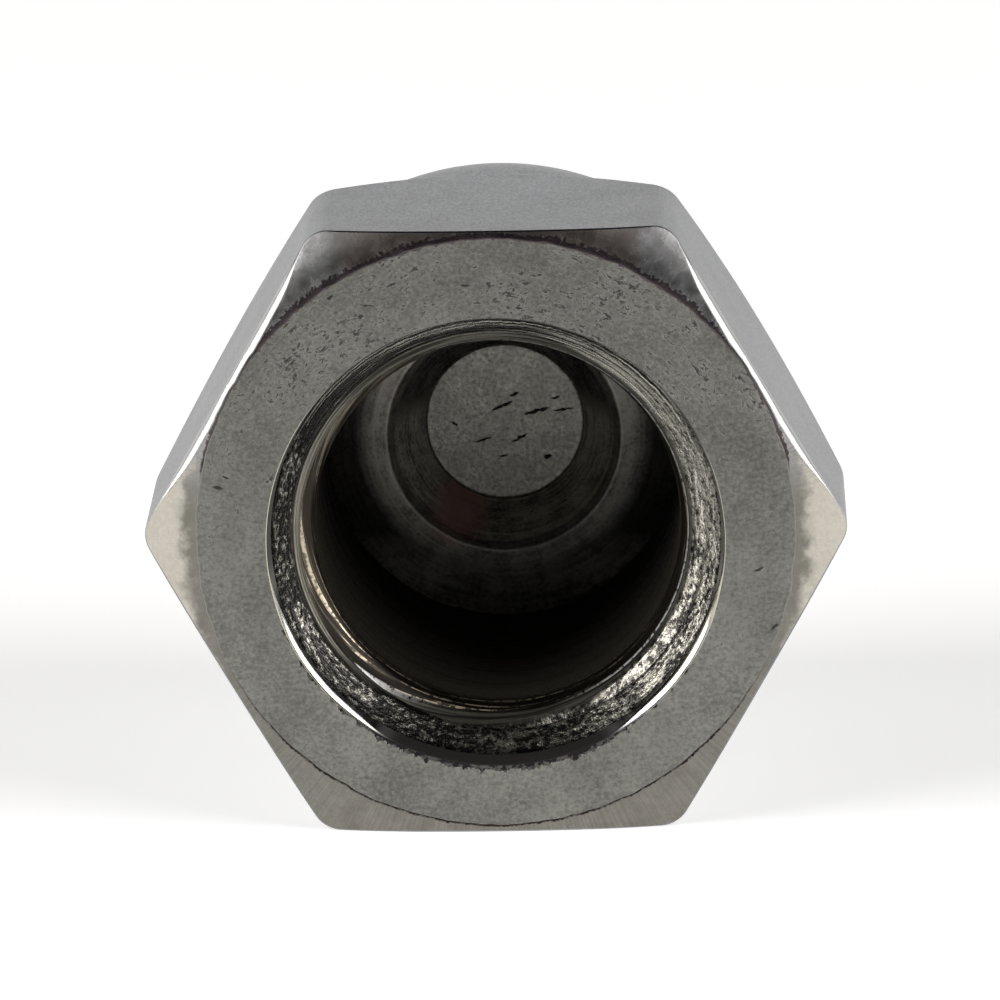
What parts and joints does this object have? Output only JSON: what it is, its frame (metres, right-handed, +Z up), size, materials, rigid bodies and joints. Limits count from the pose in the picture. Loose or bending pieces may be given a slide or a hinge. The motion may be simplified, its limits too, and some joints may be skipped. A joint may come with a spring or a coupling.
{
  "type": "domed cap nut",
  "caption": "Hexagon cap nut in stainless steel with a domed closed end and a stepped blind hole for a right-hand 20 mm coarse thread.",
  "frame": {"origin": "on the surface that the nut lies on, under the middle of its length", "axes": "-Y out of the mouth along the thread, +Y through the dome, +Z up from the flat that it lies on, +X to the right seen from the mouth"},
  "size_m": [0.0336, 0.0336, 0.0295],
  "materials": {
    "steel": "dull satin, pitted bearing face"
  },
  "bodies": {
    "root": {"cap_nut": "steel"}
  },
  "joints": []
}
